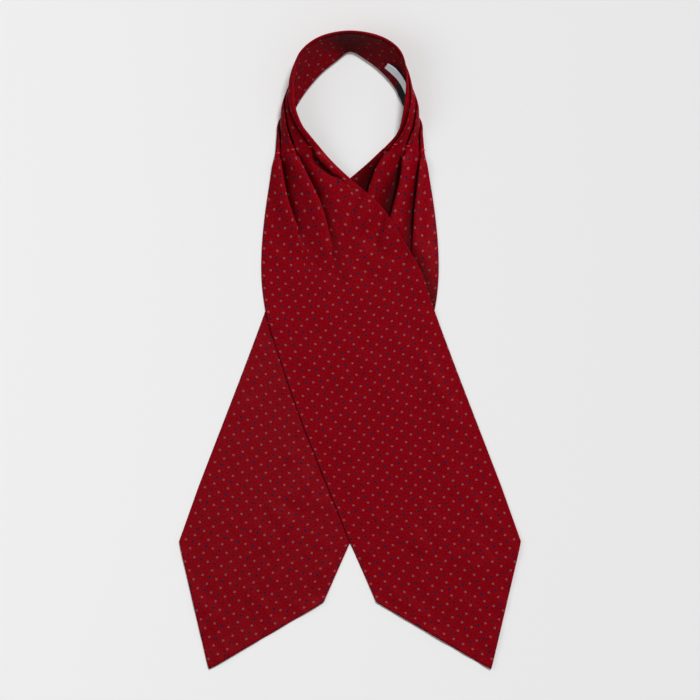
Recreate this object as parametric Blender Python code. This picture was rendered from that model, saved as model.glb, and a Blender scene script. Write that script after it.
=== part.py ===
"""Silk day cravat, laid flat on a table with its neckband fastened round in a ring.

Two mirrored halves are sewn together at the centre back. Each half is a pleated
neckband that opens, below a row of bar tacks, into a wide pointed blade. The
upper half's blade crosses over the under half's. Two woven labels are sewn
inside the neckband.

Tables are in millimetres for the upper half, which comes down the -X side of
the neck and crosses to +X. +Y points to the neck, +Z up, and z = 0 is the
table. The under half is the same cloth mirrored in x.
"""

import bpy
import numpy as np

MM = 0.001
SEAM_GAP = 0.3  # between pieces, and between cloth that lies on cloth

BLADE_WALL = 1.2  # two layers of silk with their interlining
BAND_WALL = 2.8  # the neckband's pleats lie stacked and stitched through
LABEL_WALL = 1.0

# Sections of the upper half, from the centre back to below the waist.
# Each is a curve from the outer edge, through its middle, to the neck edge.
SECTIONS = (
    # name, outer edge x, y, z, middle x, y, z, neck edge x, y, z
    ("centre_back", 0.0, 268.2, 3.0, 0.0, 278.5, 17.0, 0.0, 285.4, 34.0),
    ("back", -12.2, 260.0, 3.0, -20.2, 272.0, 17.0, -25.4, 281.0, 33.0),
    ("turn", -25.7, 248.9, 3.0, -36.5, 260.7, 18.0, -41.7, 270.0, 31.5),
    ("side", -37.1, 235.8, 3.0, -49.3, 245.4, 17.5, -48.5, 255.4, 30.0),
    ("roll", -45.0, 224.6, 3.0, -56.6, 228.3, 16.0, -50.6, 234.9, 28.0),
    ("corner", -51.0, 215.2, 2.6, -60.4, 214.3, 13.5, -48.6, 216.3, 26.0),
    ("under_roll", -61.6, 206.1, 2.2, -59.4, 203.3, 13.5, -43.6, 203.0, 22.5),
    ("shoulder", -65.0, 192.0, 2.0, -53.3, 190.8, 11.5, -35.8, 192.2, 18.5),
    ("tacks", -66.9, 176.9, 1.8, -49.2, 179.3, 9.5, -28.1, 183.2, 14.0),
    ("opening", -71.1, 155.3, 1.4, -44.1, 158.9, 7.5, -15.3, 168.5, 9.5),
    ("neckline", -74.9, 133.7, 1.2, -38.7, 138.6, 6.0, 0.4, 153.7, 6.0),
    ("spread", -79.6, 87.8, 0.9, -25.2, 99.5, 3.4, 30.6, 126.0, 3.2),
    ("fall", -79.5, 60.7, 0.7, -16.2, 73.4, 1.8, 46.8, 100.4, 1.8),
    ("waist", -76.2, 35.6, 0.6, -6.3, 48.2, 0.9, 62.1, 74.3, 0.9),
    ("hip", -59.6, -18.8, 0.6, 9.9, 0.9, 0.6, 77.9, 29.9, 0.6),
    ("flare", -0.9, -172.0, 0.6, 67.9, -149.0, 0.6, 136.6, -124.2, 0.6),
)
SECTION_BEFORE_BLADE = "tacks"
LAST_PLEATED_SECTION = "hip"

# How much further out the under half's edges lie, x then y.
UNDER_MOVES = (
    # section, outer edge x, y, neck edge x, y
    ("back", -1.8, 1.2, -1.0, 0.2),
    ("turn", -2.4, 1.4, -1.4, 1.0),
    ("side", -2.6, 1.2, -1.0, 0.6),
    ("roll", -1.0, 0.4, 0.0, 0.0),
    ("under_roll", 0.0, 0.0, -2.4, 0.0),
    ("shoulder", 0.0, 0.0, -5.6, 0.0),
    ("tacks", 0.0, 0.0, -4.8, 0.0),
    ("opening", 0.0, 0.0, -1.8, 0.0),
)

# The pointed end, as a polygon below the last section.
OUTER_CORNER = (23.7, -227.7)
POINT = (127.2, -288.4)
NECK_CORNER = (154.1, -173.2)
POINT_SHARE = 0.53  # how far across from the outer edge the point lies
CORNER_ROUND = 1.6
CORNER_CUT = 0.5  # how far a corner is drawn in, as a share of its rounding

# Where each pleat's fold runs, as a share of the way across each section.
PLEAT_STATIONS = (
    "centre_back", "roll", "corner", "shoulder", "tacks",
    "opening", "neckline", "spread", "waist",
)
UPPER_PLEATS = (
    # name, over = 1 if its outer side lies on top or -1 if its neck side does,
    # height, overlap, crest and trough lengths, full until and gone by (mm below the tacks)
    ("outer_pleat", 1, 6.0, 2.8, 9.0, 9.0, 36.0, 102.0,
     (0.14, 0.14, 0.14, 0.11, 0.09, 0.17, 0.24, 0.34, 0.34)),
    ("middle_pleat", 1, 6.0, 2.8, 9.0, 10.0, 46.0, 144.0,
     (0.45, 0.56, 0.66, 0.48, 0.47, 0.54, 0.58, 0.55, 0.49)),
    ("neck_pleat", -1, 5.2, 1.8, 4.0, 9.0, 18.0, 48.0,
     (0.82, 0.84, 0.88, 0.88, 0.87, 0.91, 0.92, 0.89, 0.82)),
)
UNDER_PLEATS = (
    ("outer_pleat", 1, 5.4, 1.8, 8.0, 12.0, 52.0, 108.0,
     (0.14, 0.14, 0.14, 0.10, 0.08, 0.15, 0.20, 0.21, 0.20)),
    ("middle_pleat", 1, 7.0, 3.0, 10.0, 18.0, 66.0, 96.0,
     (0.45, 0.56, 0.66, 0.48, 0.46, 0.42, 0.44, 0.45, 0.44)),
    ("neck_pleat", 1, 6.0, 2.4, 9.0, 12.0, 46.0, 76.0,
     (0.82, 0.84, 0.88, 0.87, 0.84, 0.82, 0.75, 0.70, 0.66)),
)
BAND_STEP = 1.3  # a pleat's edge on the neckband
OPENS_OVER = 14.0  # below the tacks, over which a pleat rises to its full height
CREST_SHARE = 0.4  # of a pleat's height that stands above the cloth round it
OVERLAP_FROM = 3.0  # a pleat lower than this has no room to fold under itself
OVERLAP_GROWS_OVER = 1.5  # mm of height

# Labels on the under half's inner face, from their seen end to the one under the roll.
WHITE_LABEL = (
    # mm below the tacks, share across at the lower edge, share at the upper edge
    (-90.3, 0.22, 0.40),
    (-84.0, 0.24, 0.46),
    (-74.0, 0.27, 0.50),
    (-62.0, 0.26, 0.52),
    (-42.0, 0.24, 0.50),
)
BLACK_LABEL = (
    (-89.8, 0.30, 0.43),
    (-84.0, 0.32, 0.505),
    (-73.5, 0.32, 0.55),
    (-71.8, 0.17, 0.55),
    (-68.2, 0.06, 0.56),
    (-55.0, 0.00, 0.56),
    (-44.0, -0.02, 0.54),
)
BLACK_LIFT = 0.5  # mm off the band's inner face
WHITE_LIFT = 1.9
LABEL_ROW = 3.0  # mm between the labels' rows
LABEL_CELLS = 5  # across a label

# Mesh divisions
BAND_ROWS = 16
OPENING_ROWS = 19
OPENING_SPACING = 1.2  # above 1, rows are closer near the tacks
BLADE_ROWS = 5
POINT_ROWS = 4
STRIP_CELLS = (2, 3, 3, 3)  # across each strip between pleats, from the outer edge
FOLD_CELLS = 6
FOLD_NARROW = 2.2  # width that a fold's cells take up at the tacks
FOLD_WIDE = 16.0  # and where the pleat has opened out
FOLD_WIDENS_FROM = 25.0  # mm below the tacks
WIDTH_STEPS = 41  # straight steps that a section's length is measured in

# The under half's cloth sinks below the upper half's where they cross.
SINK_FROM = -45.0  # mm below the tacks
SINK_TO = 70.0
SINK_TO_SHARE = 0.5

# The cover that the under half gives the upper one
COVER_CELL = 2.5
COVER_SPREAD = 4  # cells
COVER_MARGIN = 0.9
COVER_ROOM = 20.0  # mm round the cloth that its cover's grid takes in
COVER_STEPS = 8  # points along each side of a face that the cover is worked out from
COVER_SOFTENING = 2
BARE_TABLE = 0.02  # mm: a cover lower than this is the table

COLOURS = {
    "silk": ((0.26, 0.004, 0.010), 0.45),
    "white_satin": ((0.75, 0.78, 0.86), 0.5),
    "black_satin": ((0.012, 0.012, 0.014), 0.5),
}


def clear_scene():
    for thing in list(bpy.data.objects):
        bpy.data.objects.remove(thing, do_unlink=True)


def ease(t):
    """0 to 1 with level ends."""
    t = np.clip(t, 0.0, 1.0)
    return t * t * (3.0 - 2.0 * t)


def through(knots, values, at):
    """A smooth curve through values (one row per knot), read at these places."""
    knots = np.asarray(knots, float)
    values = np.asarray(values, float).reshape(len(knots), -1)
    at = np.atleast_1d(np.asarray(at, float))
    steps = np.diff(knots)
    slopes = np.diff(values, axis=0) / steps[:, None]
    tangents = np.vstack([slopes[:1], slopes, slopes[-1:]])
    before = np.r_[steps[0], steps][:, None]
    after = np.r_[steps, steps[-1]][:, None]
    tangents = (tangents[:-1] * after + tangents[1:] * before) / (before + after)
    cell = np.clip(np.searchsorted(knots, at, side="right") - 1, 0, len(steps) - 1)
    span = steps[cell][:, None]
    t = np.clip((at[:, None] - knots[cell][:, None]) / span, 0.0, 1.0)
    return (
        (2 * t**3 - 3 * t**2 + 1) * values[cell]
        + (t**3 - 2 * t**2 + t) * span * tangents[cell]
        + (3 * t**2 - 2 * t**3) * values[cell + 1]
        + (t**3 - t**2) * span * tangents[cell + 1]
    )


def section_places():
    """How far each section's middle lies below the tacks, measured along the cloth."""
    names = [row[0] for row in SECTIONS]
    middles = np.array([row[4:7] for row in SECTIONS])
    run = np.r_[0.0, np.cumsum(np.linalg.norm(np.diff(middles, axis=0), axis=1))]
    return names, run - run[names.index(SECTION_BEFORE_BLADE)]


NAMES, PLACES = section_places()
BACK = PLACES[0]
KNOTS = np.r_[2 * PLACES[0] - PLACES[1], PLACES]  # the other half's first section comes before
PLEATS_END = PLACES[NAMES.index(LAST_PLEATED_SECTION)]
LAST = PLACES[-1]


def section_rows(under):
    """The sections' points, for the upper half or the under half, after a mirrored one."""
    rows = np.array([row[1:] for row in SECTIONS])
    for name, outer_x, outer_y, neck_x, neck_y in UNDER_MOVES if under else ():
        rows[NAMES.index(name), [0, 1, 6, 7]] += (outer_x, outer_y, neck_x, neck_y)
    before = rows[1] * np.tile([-1.0, 1.0, 1.0], 3)
    return np.vstack([before, rows])


def cloth_base(along, across, under):
    """Points of the unpleated form: rows at these places along, columns at these shares across."""
    rows = through(KNOTS, section_rows(under), along)
    outer, middle, neck = (rows[:, None, k : k + 3] for k in (0, 3, 6))
    pull = 2.0 * middle - (outer + neck) / 2.0
    share = across[:, :, None]
    points = outer * (1 - share) ** 2 + 2 * pull * share * (1 - share) + neck * share**2
    return sunk(points, along) if under else points


def pointed_end(rows, across, under):
    """Rows that bend, from the last section, into the blade's point."""
    start = cloth_base(np.full(len(rows), LAST), across, under)
    outer, point, neck = (np.array(p) for p in (OUTER_CORNER, POINT, NECK_CORNER))
    share = across[:, :, None]
    first = outer + (point - outer) * share / POINT_SHARE
    second = point + (neck - point) * (share - POINT_SHARE) / (1.0 - POINT_SHARE)
    hem = np.where(share < POINT_SHARE, first, second)
    down = (point - (outer + neck) / 2) / np.linalg.norm(point - (outer + neck) / 2)
    width = np.linalg.norm(neck - outer)
    for place in (0.0, POINT_SHARE, 1.0):
        near = np.abs(share - place) * width / CORNER_ROUND
        hem = hem - down * CORNER_ROUND * CORNER_CUT * np.exp(-near)
    flat = start.copy()
    flat[..., :2] += (hem - start[..., :2]) * rows[:, None, None]
    return flat


def shares_across(along, pleats, under):
    """Where each row's columns lie across the cloth, and where in a fold they are."""
    stations = [PLACES[NAMES.index(name)] for name in PLEAT_STATIONS]
    widths = through(PLACES, section_widths(under), along)[:, 0]
    widening = ease((along - FOLD_WIDENS_FROM) / (PLEATS_END - FOLD_WIDENS_FROM))
    room = FOLD_NARROW + (FOLD_WIDE - FOLD_NARROW) * widening
    half = room / widths / 2.0
    folds = [through(stations, pleat[8], along)[:, 0] for pleat in pleats]
    stops = [np.zeros(len(along))]
    for fold in folds:
        stops += [fold - half, fold + half]
    stops.append(np.ones(len(along)))
    columns, marks = [], []
    for k, (low, high) in enumerate(zip(stops[:-1], stops[1:])):
        cells = FOLD_CELLS if k % 2 else STRIP_CELLS[k // 2]
        for i in range(cells):
            columns.append(low + (high - low) * i / cells)
            marks.append((k // 2, i / cells) if k % 2 else None)
    columns.append(stops[-1])
    marks.append(None)
    return np.stack(columns, axis=1), marks, folds, half, widths


def section_widths(under):
    """Length across the cloth at each section."""
    t = np.linspace(0, 1, WIDTH_STEPS)
    curves = cloth_base(PLACES, np.tile(t, (len(PLACES), 1)), under)
    return np.linalg.norm(np.diff(curves, axis=1), axis=2).sum(axis=1)


def pleat_sizes(pleat, along):
    """Height and overlap of a pleat at these places along."""
    _, _, height, overlap, _, _, full_until, gone_by, _ = pleat
    opening = ease(along / OPENS_OVER)
    fading = 1.0 - ease((along - full_until) / (gone_by - full_until))
    tall = (BAND_STEP + (height - BAND_STEP) * opening) * fading
    folded = overlap * ease((tall - OVERLAP_FROM) / OVERLAP_GROWS_OVER)
    return tall, folded


def pleated(base, along, columns, marks, folds, half, widths, pleats):
    """The base with its pleats: the cloth rises to a crest, folds under itself and comes out of a trough."""
    tangent, normal = frames(base)
    lift = np.zeros(columns.shape)
    shift = np.zeros(columns.shape)
    for k, pleat in enumerate(pleats):
        _, over, _, _, crest, trough, _, _, _ = pleat
        tall, folded = pleat_sizes(pleat, along)
        away = (columns - folds[k][:, None]) * widths[:, None] * over
        clear = np.abs(away) - (half * widths)[:, None]
        high = CREST_SHARE * np.exp(-((np.maximum(clear, 0) / crest) ** 2))
        low = (CREST_SHARE - 1.0) * np.exp(-((np.maximum(clear, 0) / trough) ** 2))
        change = np.where(away < 0, high, low)
        for column, mark in enumerate(marks):
            if mark is None or mark[0] != k:
                continue
            turn = mark[1] if over > 0 else 1.0 - mark[1]
            change[:, column] = CREST_SHARE - ease(turn)
            shift[:, column] += over * folded * np.sin(2 * np.pi * turn)
        lift += change * tall[:, None]
    return base + normal * lift[..., None] + tangent * shift[..., None]


def frames(points):
    """Unit directions across the cloth and out of its outer face."""
    across = np.gradient(points, axis=1)
    down = np.gradient(points, axis=0)
    across /= np.linalg.norm(across, axis=2, keepdims=True) + 1e-12
    normal = np.cross(down, across)
    normal /= np.linalg.norm(normal, axis=2, keepdims=True) + 1e-12
    return across, normal


def sunk(points, along):
    """The under half lies lower where the other half crosses it."""
    share = 1.0 - (1.0 - SINK_TO_SHARE) * ease((along - SINK_FROM) / (SINK_TO - SINK_FROM))
    points = points.copy()
    points[..., 2] *= share[:, None]
    return points


def wall(middle, thickness, floor=0.0):
    """The outer and inner faces of cloth this thick round its middle surface, no lower than the table."""
    _, normal = frames(middle)
    outer = middle + normal * thickness / 2
    inner = middle - normal * thickness / 2
    raise_by = np.maximum(floor - np.minimum(outer, inner)[..., 2], 0.0)
    outer[..., 2] += raise_by
    inner[..., 2] += raise_by
    return outer, inner


def cloth_solid(name, outer, inner, material, mirrored=False):
    """A closed solid between two faces of matching rows and columns."""
    rows, columns = outer.shape[:2]
    points = np.vstack([outer.reshape(-1, 3), inner.reshape(-1, 3)]) * MM
    if mirrored:
        points[:, 0] *= -1.0
    at = np.arange(rows * columns).reshape(rows, columns)
    under = at + rows * columns
    faces = []
    for i in range(rows - 1):
        for j in range(columns - 1):
            faces.append((at[i, j], at[i + 1, j], at[i + 1, j + 1], at[i, j + 1]))
            faces.append((under[i, j], under[i, j + 1], under[i + 1, j + 1], under[i + 1, j]))
    rim = list(at[0, :]) + list(at[1:, -1]) + list(at[-1, -2::-1]) + list(at[-2:0:-1, 0])
    for a, b in zip(rim, rim[1:] + rim[:1]):
        faces.append((a, b, b + rows * columns, a + rows * columns))
    if mirrored:
        faces = [face[::-1] for face in faces]
    mesh = bpy.data.meshes.new(name)
    mesh.from_pydata(points.tolist(), [], [tuple(int(v) for v in face) for face in faces])
    mesh.materials.append(material)
    mesh.shade_smooth()
    mesh.update()
    solid = bpy.data.objects.new(name, mesh)
    bpy.context.scene.collection.objects.link(solid)
    return solid


def blade_faces(pleats, under):
    """Outer and inner face of a blade, from just below the tacks to its point."""
    start = SEAM_GAP / 2
    opening = start + (PLEATS_END - start) * np.linspace(0, 1, OPENING_ROWS) ** OPENING_SPACING
    top = np.r_[opening, np.linspace(PLEATS_END, LAST, BLADE_ROWS + 1)[1:]]
    columns, marks, folds, half, widths = shares_across(top, pleats, under)
    base = cloth_base(top, columns, under)
    upper = pleated(base, top, columns, marks, folds, half, widths, pleats)
    rows = np.linspace(0, 1, POINT_ROWS + 1)[1:]
    lower = pointed_end(rows, np.repeat(columns[-1:], len(rows), axis=0), under)
    middle = np.vstack([upper, lower])
    middle[..., 2] = np.maximum(middle[..., 2], BLADE_WALL / 2)
    return wall(middle, BLADE_WALL)


def band_faces(pleats, under):
    """Pleated outer face and smooth inner face of half the neckband."""
    along = np.linspace(BACK, -SEAM_GAP / 2, BAND_ROWS + 1)
    columns, marks, folds, half, widths = shares_across(along, pleats, under)
    base = cloth_base(along, columns, under)
    _, normal = frames(base)
    stepped = pleated(base, along, columns, marks, folds, half, widths, pleats)
    outer = stepped + normal * BAND_WALL / 2
    inner = base - normal * BAND_WALL / 2
    for face in (outer, inner):
        face[..., 2] = np.maximum(face[..., 2], 0.0)
        face[0, :, 0] = -SEAM_GAP / 2
    return outer, inner, along, columns


def label_faces(table, lift, inner, along, columns):
    """Outer and inner face of a label, made from the points of the band's inner face and moved off it."""
    places, lower, upper = np.array(table).T
    steps = np.arange(places[0], places[-1], LABEL_ROW)
    at = np.unique(np.round(np.r_[places, steps], 2))
    across = np.linspace(0, 1, LABEL_CELLS + 1)
    low, high = np.interp(at, places, lower), np.interp(at, places, upper)
    shares = low[:, None] + (high - low)[:, None] * across
    cell = np.searchsorted(along, at) - 1
    part = ((at - along[cell]) / (along[cell + 1] - along[cell]))[:, None, None]
    before, after = (
        np.array([
            [np.interp(share, columns[row], inner[row, :, axis]) for axis in range(3)]
            for share, row in zip(shares, rows)
        ])
        for rows in (cell, cell + 1)
    )
    patch = np.moveaxis(before * (1 - part[..., :1]) + after * part[..., :1], 1, 2)
    beyond = np.minimum(shares, 0.0)[..., None]
    patch = patch + beyond * (inner[cell, -1] - inner[cell, 0])[:, None, :]
    _, normal = frames(patch)
    near = patch - normal * lift
    far = patch - normal * (lift + LABEL_WALL)
    for face in (near, far):
        face[..., 2] = np.maximum(face[..., 2], 0.0)
    return near, far


def cover(outer):
    """Height of what lies under a point, as a soft sheet over these faces' highest places."""
    low = outer[..., :2].reshape(-1, 2).min(axis=0) - COVER_ROOM
    high = outer[..., :2].reshape(-1, 2).max(axis=0) + COVER_ROOM
    size = ((high - low) / COVER_CELL).astype(int) + 1
    heights = np.zeros(size)
    fine = subdivided(outer, COVER_STEPS)
    cells = ((fine[:, :2] - low) / COVER_CELL).astype(int)
    np.maximum.at(heights, (cells[:, 0], cells[:, 1]), fine[:, 2])
    for axis in (0, 1):
        reach = range(-COVER_SPREAD, COVER_SPREAD + 1)
        heights = np.max([np.roll(heights, k, axis) for k in reach], axis=0)
    for _ in range(COVER_SOFTENING):
        for axis in (0, 1):
            reach = range(-COVER_SPREAD // 2, COVER_SPREAD // 2 + 1)
            heights = np.mean([np.roll(heights, k, axis) for k in reach], axis=0)

    def height_at(points):
        place = (points[..., :2] - low) / COVER_CELL - 0.5
        place = np.clip(place, 0, np.array(size) - 1.001)
        cell = place.astype(int)
        part = place - cell
        i, j = cell[..., 0], cell[..., 1]
        near = heights[i, j] * (1 - part[..., 1]) + heights[i, j + 1] * part[..., 1]
        far = heights[i + 1, j] * (1 - part[..., 1]) + heights[i + 1, j + 1] * part[..., 1]
        return near * (1 - part[..., 0]) + far * part[..., 0]

    return height_at


def subdivided(points, times):
    """The points of a grid and those between them."""
    t = np.arange(times) / times
    a, b = points[:-1, :-1], points[1:, :-1]
    c, d = points[:-1, 1:], points[1:, 1:]
    found = []
    for u in t:
        for v in t:
            found.append((a * (1 - u) + b * u) * (1 - v) + (c * (1 - u) + d * u) * v)
    return np.concatenate([f.reshape(-1, 3) for f in found])


def main():
    clear_scene()
    silk = material("silk")
    under_outer, under_inner = blade_faces(UNDER_PLEATS, under=True)
    cloth_solid("under_blade", under_outer, under_inner, silk, mirrored=True)
    outer, inner = blade_faces(UPPER_PLEATS, under=False)
    height_at = cover(under_outer * np.array([-1.0, 1.0, 1.0]))
    need = height_at(inner) + SEAM_GAP + COVER_MARGIN - np.minimum(outer, inner)[..., 2]
    lift = np.where(height_at(inner) > BARE_TABLE, np.maximum(need, 0.0), 0.0)
    outer[..., 2] += lift
    inner[..., 2] += lift
    cloth_solid("upper_blade", outer, inner, silk)
    outer, inner, _, _ = band_faces(UPPER_PLEATS, under=False)
    cloth_solid("neckband_upper_half", outer, inner, silk)
    outer, inner, along, columns = band_faces(UNDER_PLEATS, under=True)
    cloth_solid("neckband_under_half", outer, inner, silk, mirrored=True)
    on_band = inner, along, columns
    near, far = label_faces(BLACK_LABEL, BLACK_LIFT, *on_band)
    cloth_solid("black_label", near, far, material("black_satin"), mirrored=True)
    near, far = label_faces(WHITE_LABEL, WHITE_LIFT, *on_band)
    cloth_solid("white_label", near, far, material("white_satin"), mirrored=True)


def material(name):
    colour, roughness = COLOURS[name]
    made = bpy.data.materials.new(name)
    made.use_nodes = True
    shader = made.node_tree.nodes["Principled BSDF"]
    shader.inputs["Base Color"].default_value = (*colour, 1.0)
    shader.inputs["Roughness"].default_value = roughness
    return made


main()
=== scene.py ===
"""Looks of the silk day cravat: two pleated halves crossed over each other, their labels and tacks.

Tables are in millimetres for the upper half, which comes down the -X side of the neck and
crosses to +X. +Y points to the neck, +Z up, and z = 0 is the table. The under half is the
same cloth mirrored in x.
"""

import math

import bpy
import numpy as np
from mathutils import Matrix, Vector


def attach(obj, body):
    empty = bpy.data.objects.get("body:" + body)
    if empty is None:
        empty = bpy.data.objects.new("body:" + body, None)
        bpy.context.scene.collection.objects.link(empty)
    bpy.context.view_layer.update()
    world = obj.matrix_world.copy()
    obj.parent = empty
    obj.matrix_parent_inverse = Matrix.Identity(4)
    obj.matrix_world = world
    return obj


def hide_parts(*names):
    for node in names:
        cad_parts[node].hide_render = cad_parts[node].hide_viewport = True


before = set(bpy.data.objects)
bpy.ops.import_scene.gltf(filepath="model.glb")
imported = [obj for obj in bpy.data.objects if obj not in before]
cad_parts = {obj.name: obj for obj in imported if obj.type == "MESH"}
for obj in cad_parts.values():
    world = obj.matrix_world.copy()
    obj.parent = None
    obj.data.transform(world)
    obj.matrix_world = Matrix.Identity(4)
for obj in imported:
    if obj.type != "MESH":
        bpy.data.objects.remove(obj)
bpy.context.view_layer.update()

MM = 0.001
UV_SCALE = 0.01  # UV units per mm of cloth
TINY = 1e-12  # keeps a division clear of zero
BLADE_WALL = 1.0
BAND_WALL = 2.6
SEAM_GAP = 0.008
SEAM_ROW = 0.1  # the first row of cells at the seam is this short
SEAM_ROWS = 3  # rows next to the centre back seam that are held to their own side of it
SEAM_STEP = 0.01  # how much further from the seam each of these rows is held

# ---------------------------------------------------------------- the form of the cloth

SECTIONS = (
    # name, outer edge x, y, z, middle x, y, z, neck edge x, y, z
    ("centre_back", 0.0, 268.2, 3.0, 0.0, 278.5, 17.0, 0.0, 285.4, 34.0),
    ("back", -12.2, 260.0, 3.0, -20.2, 272.0, 17.0, -25.4, 281.0, 33.0),
    ("turn", -25.7, 248.9, 3.0, -36.5, 260.7, 18.0, -41.7, 270.0, 31.5),
    ("side", -37.1, 235.8, 3.0, -49.3, 245.4, 17.5, -48.5, 255.4, 30.0),
    ("roll", -45.0, 224.6, 3.0, -56.6, 228.3, 16.0, -50.6, 234.9, 28.0),
    ("corner", -51.0, 215.2, 2.6, -60.4, 214.3, 13.5, -48.6, 216.3, 26.0),
    ("under_roll", -61.6, 206.1, 2.2, -59.4, 203.3, 13.5, -43.6, 203.0, 22.5),
    ("shoulder", -65.0, 192.0, 2.0, -53.3, 190.8, 11.5, -35.8, 192.2, 18.5),
    ("tacks", -66.9, 176.9, 1.8, -49.2, 179.3, 9.5, -28.1, 183.2, 14.0),
    ("opening", -71.1, 155.3, 1.4, -44.1, 158.9, 7.5, -15.3, 168.5, 9.5),
    ("neckline", -74.9, 133.7, 1.2, -38.7, 138.6, 6.0, 0.4, 153.7, 6.0),
    ("spread", -79.6, 87.8, 0.9, -25.2, 99.5, 3.4, 30.6, 126.0, 3.2),
    ("fall", -79.5, 60.7, 0.7, -16.2, 73.4, 1.8, 46.8, 100.4, 1.8),
    ("waist", -76.2, 35.6, 0.6, -6.3, 48.2, 0.9, 62.1, 74.3, 0.9),
    ("hip", -59.6, -18.8, 0.6, 9.9, 0.9, 0.6, 77.9, 29.9, 0.6),
    ("flare", -0.9, -172.0, 0.6, 67.9, -149.0, 0.6, 136.6, -124.2, 0.6),
)
SECTION_BEFORE_BLADE = "tacks"
LAST_PLEATED_SECTION = "hip"

UNDER_MOVES = (
    # section, outer edge x, y, neck edge x, y: how much further out the under half's edges lie
    ("back", -1.8, 1.2, -1.0, 0.2),
    ("turn", -2.4, 1.4, -1.4, 1.0),
    ("side", -2.6, 1.2, -1.0, 0.6),
    ("roll", -1.0, 0.4, 0.0, 0.0),
    ("under_roll", 0.0, 0.0, -2.4, 0.0),
    ("shoulder", 0.0, 0.0, -5.6, 0.0),
    ("tacks", 0.0, 0.0, -4.8, 0.0),
    ("opening", 0.0, 0.0, -1.8, 0.0),
)

# The pointed end, as a polygon below the last section.
OUTER_CORNER = (23.7, -227.7)
POINT = (127.2, -288.4)
NECK_CORNER = (154.1, -173.2)
POINT_SHARE = 0.53
CORNER_ROUND = 1.6
CORNER_DRAWN_IN = 0.8

PLEAT_STATIONS = (
    "centre_back", "roll", "corner", "shoulder", "tacks",
    "opening", "neckline", "spread", "waist",
)
UPPER_PLEATS = (
    # name, over = 1 if its outer side lies on top or -1 if its neck side does,
    # height, overlap, crest and trough lengths, full until and gone by (mm below the tacks),
    # width of the painted shade in its trough and the length over which that opens,
    # share across at each station
    ("outer_pleat", 1, 8.0, 3.0, 9.0, 7.0, 36.0, 104.0, 4.5, 26.0,
     (0.14, 0.14, 0.14, 0.11, 0.09, 0.17, 0.24, 0.34, 0.34)),
    ("middle_pleat", 1, 8.4, 3.0, 9.0, 8.0, 44.0, 146.0, 5.0, 30.0,
     (0.45, 0.56, 0.66, 0.48, 0.47, 0.54, 0.58, 0.55, 0.49)),
    ("neck_pleat", -1, 8.0, 2.2, 4.0, 7.0, 16.0, 48.0, 4.5, 14.0,
     (0.82, 0.84, 0.88, 0.88, 0.87, 0.91, 0.93, 0.90, 0.82)),
)
UNDER_PLEATS = (
    ("outer_pleat", 1, 8.0, 2.4, 8.0, 8.0, 60.0, 122.0, 7.0, 46.0,
     (0.14, 0.14, 0.14, 0.10, 0.08, 0.15, 0.20, 0.21, 0.20)),
    ("middle_pleat", 1, 9.5, 3.4, 10.0, 14.0, 66.0, 100.0, 16.0, 42.0,
     (0.45, 0.56, 0.66, 0.48, 0.46, 0.42, 0.43, 0.44, 0.44)),
    ("neck_pleat", 1, 8.5, 3.0, 9.0, 11.0, 60.0, 90.0, 19.0, 40.0,
     (0.82, 0.84, 0.88, 0.87, 0.84, 0.82, 0.75, 0.70, 0.66)),
)
BAND_STEP = 1.4
BAND_OVERLAP = 0.7  # how far a pleat's edge laps over the next in the band
BAND_GROOVE = 1.6  # how much deeper the pleats' edges cut into the stacked band
BAND_GROOVE_WIDTH = 0.7
BACK_LEVEL = 14.0  # mm from the centre back where the pleats are pressed level
BACK_FULL = 70.0
RIM_GROOVE = 0.9  # the folded rim's inner edge, inside the neckband
RIM_GROOVE_IN = 2.2
RIM_GROOVE_WIDTH = 0.6
OPENS_OVER = 14.0
CREST_SHARE = 0.45  # the part of a pleat's height that stands above the plain form
# Painted shade in the pleats' troughs and folds, painted shadow where the halves cross, and painted
# shade inside the band
BAND_PAINTED_SHADE = 0.5  # width of the painted shade line along a pleat's edge in the band
PAINTED_SHADE_FADES = 1.25
PAINTED_SHADE_EDGE = 2.6  # above 2, a trough's painted shade is flatter and ends more sharply
TURN_PAINTED_SHADE_FROM = 0.3  # how far round a fold its painted shade begins, as a share of the fold
TURN_PAINTED_SHADE_OVER = 0.5
CROSSING_PAINTED_SHADOW = 0.75  # painted shadow on the under half, beside the other half's neck edge
CROSSING_REACH = 7.0
CROSSING_FROM = 60.0  # mm below the tacks
CROSSING_FULL = 95.0
BACK_PAINTED_SHADE = 0.65  # painted shade on the inner face at the centre back
BACK_PAINTED_SHADE_LENGTH = 22.0
INNER_PAINTED_SHADE = 0.25  # painted shade on the rest of the inner face
OVERLAP_FROM = 3.0
OVERLAP_GROWS_OVER = 1.5
WALL_THINS_FROM = -12.0  # mm below the tacks
WALL_THINS_TO = 8.0
SINK_FROM = -45.0
SINK_TO = 70.0
SINK_TO_SHARE = 0.5

# The grid of each half
ROW_STEPS = (
    # to mm below the tacks, mm between rows
    (-20.0, 2.0),
    (12.0, 1.0),
    (110.0, 1.6),
    (200.0, 2.4),
    (349.0, 4.0),
)
POINT_ROWS = 30
POINT_ROWS_CROWD = 1.15  # above 1, the point's rows lie closer together towards the hem
STRIP_CELLS = (9, 16, 16, 12)
FOLD_CELLS = 16
FOLD_NARROW = 2.2
FOLD_WIDE = 16.0
FOLD_WIDENS_FROM = 25.0
RIM = (0.0, 0.04, 0.16, 0.35, 0.65, 1.0)  # mm from an edge, where the wall rounds off
RIM_THINNEST = 0.015  # the wall's share of its thickness at the very edge
NO_HEM = 1e3  # mm to the hem, for cloth that has none near
WIDTH_STEPS = 41


def ease(t):
    """0 to 1 with level ends."""
    t = np.clip(t, 0.0, 1.0)
    return t * t * (3.0 - 2.0 * t)


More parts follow.
